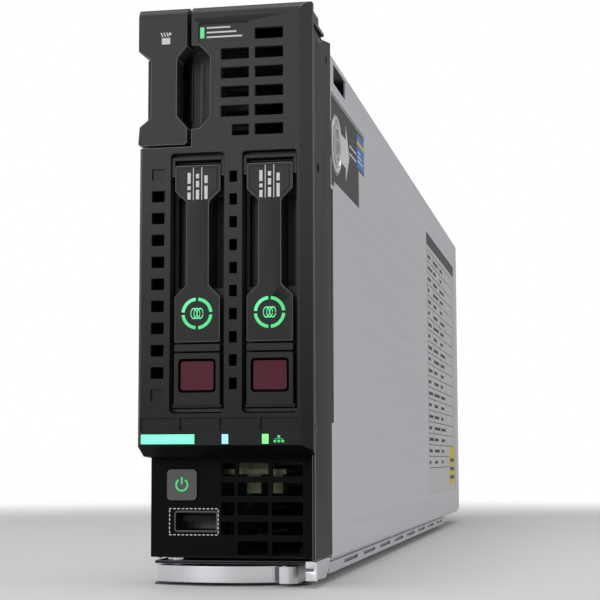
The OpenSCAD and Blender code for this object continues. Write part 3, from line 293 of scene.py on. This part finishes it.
olive = solder_mask("olive_board", (0.075, 0.105, 0.010), (0.12, 0.17, 0.03))
green_board = solder_mask("green_board", (0.012, 0.075, 0.022), (0.03, 0.15, 0.05))
green_light = lit("green_light", (0.10, 0.95, 0.42), 1.0)
blue_light = lit("blue_light", (0.16, 0.45, 1.0), 1.6)
link_green = lit("link_green", (0.12, 0.95, 0.16), 1.0)
ring_green = lit("ring_green", (0.03, 0.55, 0.20), 0.8)
mark_green = lit("mark_green", (0.02, 0.55, 0.16), 0.55)
white_print = Finish("white_print", (0.80, 0.80, 0.80), 0.6)
white_print.rough(white_print.noise(3000), 0.1)
paper = Finish("paper_label", (0.62, 0.62, 0.61), 0.55)
paper.rough(paper.noise(900, detail=5.0), 0.15)
black_print = Finish("black_print", (0.010, 0.010, 0.012), 0.5)
black_print.rough(black_print.noise(1500), 0.1)
yellow_print = Finish("yellow_print", (0.75, 0.55, 0.02), 0.5)
blue_print = Finish("blue_print", (0.02, 0.16, 0.55), 0.45)
card = Finish("label_plastic", (0.70, 0.70, 0.67), 0.5)
clear_plastic = Finish("clear_button", (0.10, 0.105, 0.10), 0.16, Coat_Weight=0.6)
print("prints and lights are ready")

# %% [markdown]
# ## Softened edges
# No real edge is perfectly sharp, and a thin bright rim round every hole is what makes moulded parts
# look moulded. The frame's meshes stay as they are: each visible node is copied, its flat faces are
# joined, and its sharp edges are bevelled by about a fifth of a millimetre. The copy then stands for the
# node and takes its place on the same moving body.

# %% Copies with softened edges
slot_of = {part["node"]: part["material_slot"] for part in frame["record"]["subparts"]}
made_pieces = {}


def body_of_node(node):
    return next(b for b, members in frame["record"]["behaviour"]["bodies"].items() if node in members)


def finish_piece(shape, name, body, finishes, smooth=20, new_shape=True):
    """Turns a bmesh in metres into a piece that rides on a body."""
    if new_shape:
        bmesh.ops.recalc_face_normals(shape, faces=shape.faces)
    data = bpy.data.meshes.new(name)
    shape.to_mesh(data)
    shape.free()
    data.shade_smooth()
    data.set_sharp_from_angle(angle=math.radians(smooth))
    for finish in finishes:
        data.materials.append(finish.material)
    piece = bpy.data.objects.new(name, data)
    bpy.context.scene.collection.objects.link(piece)
    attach(piece, body)
    made_pieces[name] = len(data.polygons)
    return piece


ROOM = 2.5  # an edge is bevelled where it and its neighbours are this many bevels long


def soften(node, finishes, width=0.25, segments=2, sharp=30, choose=None, plain=(0, 0)):
    """A copy of a CAD node with bevelled edges; finishes[1] goes on the bevels.

    Edges that are short, or have a short neighbour, stay sharp: a bevel wider than they are would
    fold over. So do the edges whose middle lies between the two heights in plain.
    """
    shape = bmesh.new()
    shape.from_mesh(frame["nodes"][node].data)
    bmesh.ops.remove_doubles(shape, verts=shape.verts, dist=2e-6)
    for face in shape.faces:
        face.material_index = 0
    bmesh.ops.dissolve_limit(
        shape, angle_limit=math.radians(0.5), verts=shape.verts, edges=shape.edges,
        use_dissolve_boundaries=False,
    )
    edges = [
        edge for edge in shape.edges
        if edge.is_manifold and edge.calc_face_angle(0) > math.radians(sharp)
        and not plain[0] < sum(vert.co.z for vert in edge.verts) / 2 < plain[1]
        and min(near.calc_length() for vert in edge.verts for near in vert.link_edges) > ROOM * width * MM
    ]
    bmesh.ops.bevel(
        shape, geom=edges, affect="EDGES", offset=width * MM, offset_type="OFFSET", segments=segments,
        profile=0.5, clamp_overlap=False, material=1 if len(finishes) > 1 else -1,
    )
    if choose:
        for face in shape.faces:
            face.material_index = choose(face, face.material_index)
    piece = finish_piece(
        shape, node + "_dressed", body_of_node(node), finishes, new_shape=False
    )
    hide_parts(node)
    return piece


LEDGE = 43.0 * MM
LIGHT_ROW = (38.0 * MM, 54.0 * MM)


def bezel_part(face, index):
    """The set-back lower part of the bezel has two darker finishes of its own: its own black made darker by
    painted shade, and a dimmer painted highlight on its bevels.
    """
    return index + 2 if face.calc_center_median().z < LEDGE else index


bezel_finishes = (charcoal, painted_highlight, black_and_shaded_set_back, lower_rim_highlight)
bezel = soften("front_bezel", bezel_finishes, 0.2, choose=bezel_part, plain=LIGHT_ROW)
started = {"front_bezel": len(bezel.data.polygons)}
# on the mouldings, the eject buttons and the black sheet, the second finish is a painted highlight on the
# bevels
for node, finishes in {
    "pull_tab": (charcoal, painted_highlight),
    "drive_1_carrier": (drive_plastic, painted_highlight), "drive_2_carrier": (drive_plastic, painted_highlight),
    "drive_1_lever": (drive_plastic, painted_highlight), "drive_2_lever": (drive_plastic, painted_highlight),
    "drive_1_button": (maroon, maroon_highlight_edge), "drive_2_button": (maroon, maroon_highlight_edge),
    "side_frame": (painted, black_sheet_highlight_edge), "top_guide": (painted, black_sheet_highlight_edge),
    "lever_bracket": (painted, black_sheet_highlight_edge), "access_panel": (panel_steel, cut_edge),
    "base_pan": (zinc, cut_edge), "release_lever": (polished, cut_edge), "release_button": (satin, cut_edge),
    "side_catch": (satin, cut_edge), "panel_latch": (satin, cut_edge),
}.items():
    piece = soften(node, finishes, 0.22)
    started[node] = len(piece.data.polygons)
print("softened:", started)

# %% The other nodes keep their meshes and take a finish
by_slot = {
    "moulded_plastic": charcoal, "black_sheet": painted, "zinc_sheet": zinc, "satin_steel": satin,
    "polished_lever": polished, "fastener_steel": plated, "circuit_board": green_board, "nickel": nickel,
    "aluminium": aluminium, "connector_plastic": housing, "green_lens": green_light,
    "blue_lens": blue_light, "clear_button": clear_plastic, "eject_plastic": maroon, "card_plastic": card,
}
# the drive cage, its stays and the disks get a near-black copy of the zinc finish: painted shade for the dark
# inside seen through the gaps
shaded_zinc = brushed("zinc_painted_shade", (0.055, 0.055, 0.060), 0.5, along, metallic=0.6)
shell_nickel = brushed("dark_shell", (0.10, 0.10, 0.10), 0.4, (1, 1, 1), 0.05, 700)
special = {
    "link_light": link_green, "system_board": olive, "front_io_board": olive, "drive_cage": shaded_zinc,
    "cage_stays": shaded_zinc, "drive_1_disk": shaded_zinc, "drive_2_disk": shaded_zinc,
    "service_port_shell": shell_nickel,
}
for name, node in frame["nodes"].items():
    node.data.materials.clear()
    node.data.materials.append(special.get(name, by_slot[slot_of[name]]).material)
print(len(frame["nodes"]), "nodes have a finish")

# %% [markdown]
# ## Marks and labels
# Print, stickers and small lit symbols are slabs a few hundredths of a millimetre thick. Each slab is
# an outline in millimetres on one plane of the blade: the front plane, or the plane of the side panel.
# An outline is a box, a disc, a stroke or part of a ring, so every mark is a short list of such parts.

# %% Planes and outlines
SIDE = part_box("access_panel")[1][0] / MM


def on_front(depth):
    """A plane that faces forward, depth mm behind the bezel's front."""
    return lambda u, v, w: Vector((u * MM, FRONT + (depth - w) * MM, v * MM))


def on_side(u, v, w):
    return Vector(((SIDE + w) * MM, FRONT + u * MM, v * MM))


def box(u0, v0, u1, v1):
    return [(u0, v0), (u1, v0), (u1, v1), (u0, v1)]


def arc(u, v, radius, start, end, steps=24, squash=1.0):
    turns = [math.radians(start + (end - start) * i / steps) for i in range(steps + 1)]
    return [(u + squash * radius * math.cos(t), v + radius * math.sin(t)) for t in turns]


def ring(u, v, inner, outer, start, end, steps=16, squash=1.0):
    outline = arc(u, v, outer, start, end, steps, squash)
    return outline + arc(u, v, inner, end, start, steps, squash)


def stroke(u0, v0, u1, v1, width):
    length = math.hypot(u1 - u0, v1 - v0)
    du, dv = (v1 - v0) / length * width / 2, (u0 - u1) / length * width / 2
    return [(u0 + du, v0 + dv), (u1 + du, v1 + dv), (u1 - du, v1 - dv), (u0 - du, v0 - dv)]


def marks(name, body, place, groups, height=0.05):
    """One piece of thin slabs; groups holds (finish, outlines) pairs, each a little higher."""
    shape = bmesh.new()
    for index, (finish, outlines) in enumerate(groups):
        top = height * (1 + 0.5 * index)
        for outline in outlines:
            back, front = ([shape.verts.new(place(u, v, w)) for u, v in outline] for w in (-0.02, top))
            faces = [shape.faces.new(front), shape.faces.new(back[::-1])]
            for i, vert in enumerate(back):
                j = (i + 1) % len(back)
                faces.append(shape.faces.new((vert, back[j], front[j], front[i])))
            for face in faces:
                face.material_index = index
    return finish_piece(shape, name, body, [finish for finish, _ in groups])


# %% Marks on the front
tab_body, chassis = body_of_node("pull_tab"), body_of_node("front_bezel")
icon = [box(-20.2, 168.6, -17.5, 170.6), arc(-17.6, 171.9, 0.45, 0, 340, 12)]
icon += [stroke(-19.9 + 0.9 * i, 171.0, -20.5 + 0.9 * i, 172.4, 0.35) for i in range(3)]
marks("tab_icon", tab_body, on_front(0.0), [(white_print, icon)])
badge = [box(-5.8, 170.0 + 1.5 * row, 5.6 - 1.9 * row, 170.5 + 1.5 * row) for row in range(3)]
marks("badge_dashes", chassis, on_front(0.5), [
    (black_print, [box(-8.3, 168.6, 7.6, 174.5)]),
    (mark_green, [box(-7.9, 170.0, -6.6, 173.5)]), (white_print, badge),
])
LABEL_FOOT, LABEL_TOP, DASH_GAP = 119.0, 129.0, 0.8
RING_HEIGHT, RING_INNER, RING_OUTER = 83.5, 3.9, 4.9
for number, centre in ((1, -8.5), (2, 14.3)):
    body = body_of_node(f"drive_{number}_lever")
    lines = [
        stroke(centre + side, LABEL_FOOT - 0.2, centre + side, LABEL_TOP, 0.25) for side in (-1.35, 1.35)
    ]
    for column, dashes in ((-2.7, (2.2, 1.2, 3.4)), (0.0, (3.0, 2.0, 1.4)), (2.7, (4.2, 2.4))):
        bottom = LABEL_FOOT
        for dash in dashes:
            lines.append(box(centre + column - 0.5, bottom, centre + column + 0.5, bottom + dash))
            bottom += dash + DASH_GAP
    marks(f"drive_{number}_label", body, on_front(0.3), [(white_print, lines)])
    band = (centre, RING_HEIGHT, RING_INNER, RING_OUTER)
    quarters = [ring(*band, 5 + 90 * i, 85 + 90 * i) for i in (0, 2, 3)]
    coil = [ring(centre - 1.0 + i, RING_HEIGHT, 1.35, 1.75, 0, 350, 20, 0.6) for i in range(3)]
    marks(f"drive_{number}_ring", body, on_front(0.3), [
        (mark_green, quarters), (ring_green, [ring(*band, 95, 175)] + coil),
    ])

power_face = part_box("power_button")[0][1] / MM - FRONT / MM
symbol = [ring(-17, 31, 1.6, 2.1, 125, 415), stroke(-17, 31.2, -17, 33.4, 0.5)]
button_body = body_of_node("power_button")
marks("power_symbol", button_body, on_front(power_face), [(mark_green, symbol)])


# %% Depth of the bezel behind a place on the front
def bezel_depth(u, v):
    """How far behind the front a ray along +Y first meets the bezel, in mm."""
    shape = bmesh.new()
    shape.from_mesh(frame["nodes"]["front_bezel"].data)
    start = Vector((u * MM, FRONT - 50 * MM, v * MM))
    hit = BVHTree.FromBMesh(shape).ray_cast(start, Vector((0, 1, 0)))[0]
    shape.free()
    return (hit.y - FRONT) / MM


lower_face = bezel_depth(-22.5, 19.5)
dashes = [box(-21.2 + 1.35 * i, z, -20.4 + 1.35 * i, z + 0.3) for i in range(12) for z in (15.3, 23.4)]
dashes += [box(x, 15.9 + 1.3 * i, x + 0.3, 16.7 + 1.3 * i) for i in range(6) for x in (-21.2, -5.5)]
marks("port_frame", chassis, on_front(lower_face), [(white_print, dashes)])
network = [box(15.6 + 1.2 * i, 44.0, 16.4 + 1.2 * i, 44.7) for i in range(3)]
network += [box(16.8, 45.4, 17.6, 46.1), box(15.9, 44.95, 18.5, 45.1)]
marks("link_icon", chassis, on_front(bezel_depth(16.0, 45.0)), [(mark_green, network)])
print("the lower face stands", round(lower_face, 2), "mm behind the front")

# %% [markdown]
# The panel's marks lie on its outer face. The sticker leaves the round latch free, so its outline runs
# round the latch on an arc that is open to the panel's front edge. The paper label is a ruled table
# with grey bars of uneven length where the lines of print would be.

# %% Sticker, arrow and paper label on the side panel
panel_body = body_of_node("access_panel")
EDGE = 37.4  # the sticker starts just behind the panel's front edge
opening = arc(46.8, 144.2, 10.3, 215.6, 504.4, 48)
sticker = [(EDGE, 138.2)] + opening + [(EDGE, 150.2), (EDGE, 160.5), (111, 160.5), (111, 145)]
sticker += [(98, 145), (98, 131), (42.6, 131), (42.6, 129.2), (EDGE, 129.2)]
white_lines = [box(EDGE, 159.6, 110.2, 159.9), box(109.9, 145.8, 110.2, 159.6)]
white_lines += [box(97.0, 131.8, 97.3, 145), box(76, 149.6, 91.5, 150.3), box(76, 146.8, 91.5, 147.5)]
arrow = [(57.6, 140.2), (67.3, 140.2), (67.3, 135.3), (75.3, 145.3)]
arrow += [(67.3, 155.5), (67.3, 150.2), (57.6, 150.2)]
marks("side_sticker", panel_body, on_side, [
    (black_print, [sticker]), (white_print, white_lines), (cut_edge, [arrow]),
    (blue_print, [box(92.7, 145.6, 109.4, 158.4)]), (yellow_print, [box(92.7, 154.2, 109.4, 155.6)]),
    (white_print, [box(94.5, 148.0 + 1.6 * i, 107 - 3 * i, 148.6 + 1.6 * i) for i in range(3)]),
])
ROW, ROWS, RULE = 6, 19, 0.35
table = [box(334, z, 470, z + RULE) for z in range(34, 150, ROW)]
table += [box(y, 34, y + RULE, 148) for y in (334, 362, 398, 430, 470)]
text = []
for start, shortest, step, spread in ((336, 8, 7, 15), (364, 14, 11, 17), (400, 10, 5, 17)):
    for i in range(ROWS):
        length = shortest + (step * i) % spread
        text.append(box(start, 36.2 + ROW * i, start + length, 37.8 + ROW * i))
marks("paper_label", panel_body, on_side, [
    (paper, [box(331, 20, 484, 157)]), (black_print, [box(331, 150.7, 484, 157), box(482.8, 20, 484, 150.7)]),
    (housing, table + text), (yellow_print, [box(446, 24, 478, 46)]),
    (black_print, [box(449, 27 + 5 * i, 475, 29 + 5 * i) for i in range(3)]),
], 0.03)

# %% [markdown]
# Two thin dark pieces close what would be see-through: the set-back strip in the notch of the pull tab,
# which moves with the tab, and a near-black sheet behind the top vents, painted shade for the dark inside.

# %% Dark web in the tab's notch, and painted shade behind the top vents
def solid(name, body, corners, finish):
    shape = bmesh.new()
    bmesh.ops.create_cube(shape, size=1.0)
    low_corner, high_corner = (Vector((x * MM, FRONT + y * MM, z * MM)) for x, y, z in corners)
    for vert in shape.verts:
        vert.co = low_corner + Vector((vert.co[i] + 0.5) * (high_corner - low_corner)[i] for i in range(3))
    bmesh.ops.bevel(
        shape, geom=shape.edges[:], affect="EDGES", offset=0.2 * MM, segments=2, profile=0.5, material=-1
    )
    return finish_piece(shape, name, body, [finish])


solid("tab_notch_web", tab_body, ((-26.4, 6.0, 144.0), (-23.6, 8.0, 165.0)), drive_plastic)
solid("vent_shade_sheet", chassis, ((-9.0, 20.0, 171.5), (24.5, 20.8, 178.6)), vent_shade)
print(len(made_pieces), "pieces made by this lesson")

# %% [markdown]
# ## Stage and light
# The blade stands on a pale floor in a white room. A large soft lamp on the right lights the steel
# side, a smaller one over the front brings out the rounded top, and a weak one fills the front. The
# room is white only for the camera; in reflections it is a mid grey, and its light is weaker still.

# %% Floor
floor_mesh = bmesh.new()
bmesh.ops.create_circle(floor_mesh, cap_ends=True, segments=96, radius=6.0)
floor_data = bpy.data.meshes.new("floor")
floor_mesh.to_mesh(floor_data)
floor_mesh.free()
floor = bpy.data.objects.new("floor", floor_data)
bpy.context.scene.collection.objects.link(floor)
FADE_END, FADE_START = 0.75, 0.32  # the floor fades into the room between these distances in metres
floor_finish = Finish("pale_floor", (0.80, 0.80, 0.80), 0.6)
span = floor_finish.node("ShaderNodeTexCoord", output="Object")
span = floor_finish.node("ShaderNodeVectorMath", {"operation": "LENGTH"}, {0: span}, output=1)
floor_finish.drive("Alpha", floor_finish.ramp(span, FADE_END, FADE_START))
floor_finish.rough(floor_finish.noise(60), 0.02)
floor_data.materials.append(floor_finish.material)

# %% Lamps and world
def soft_lamp(name, place, aim, size, power, colour=(1, 1, 1)):
    data = bpy.data.lights.new(name, "AREA")
    data.shape, data.size, data.size_y = "RECTANGLE", *size
    data.energy, data.color = power, colour
    lamp = bpy.data.objects.new(name, data)
    lamp.location = place
    lamp.rotation_mode = "QUATERNION"
    lamp.rotation_quaternion = (Vector(aim) - Vector(place)).to_track_quat("-Z", "Y")
    bpy.context.scene.collection.objects.link(lamp)
    return lamp


soft_lamp("side_lamp", (1.5, -0.1, 0.75), (0, 0, 0.1), (1.4, 1.0), 4)
soft_lamp("top_lamp", (-0.1, -0.45, 1.3), (0, -0.2, 0.1), (0.8, 0.8), 7)
soft_lamp("front_lamp", (-0.6, -1.8, 0.6), (0, -0.2, 0.09), (0.9, 0.9), 7)
ROOM_LIGHT = 0.35  # strength of the room's light, where 1 is the white the camera sees
MIRRORED = 0.25  # how far reflections go from the room's light towards that white
world = bpy.data.worlds.new("studio")
bpy.context.scene.world = world
world.use_nodes = True
tree = world.node_tree
background = tree.nodes["Background"]
background.inputs["Color"].default_value = (1, 1, 1, 1)
paths = tree.nodes.new("ShaderNodeLightPath")
seen = tree.nodes.new("ShaderNodeMath")
seen.operation = "MAXIMUM"
tree.links.new(paths.outputs["Is Camera Ray"], seen.inputs[0])
mirrored = tree.nodes.new("ShaderNodeMath")
mirrored.operation = "MULTIPLY"
mirrored.inputs[1].default_value = MIRRORED
tree.links.new(paths.outputs["Is Glossy Ray"], mirrored.inputs[0])
tree.links.new(mirrored.outputs[0], seen.inputs[1])
level = tree.nodes.new("ShaderNodeMapRange")
level.inputs["To Min"].default_value = ROOM_LIGHT
tree.links.new(seen.outputs[0], level.inputs["Value"])
tree.links.new(level.outputs[0], background.inputs["Strength"])
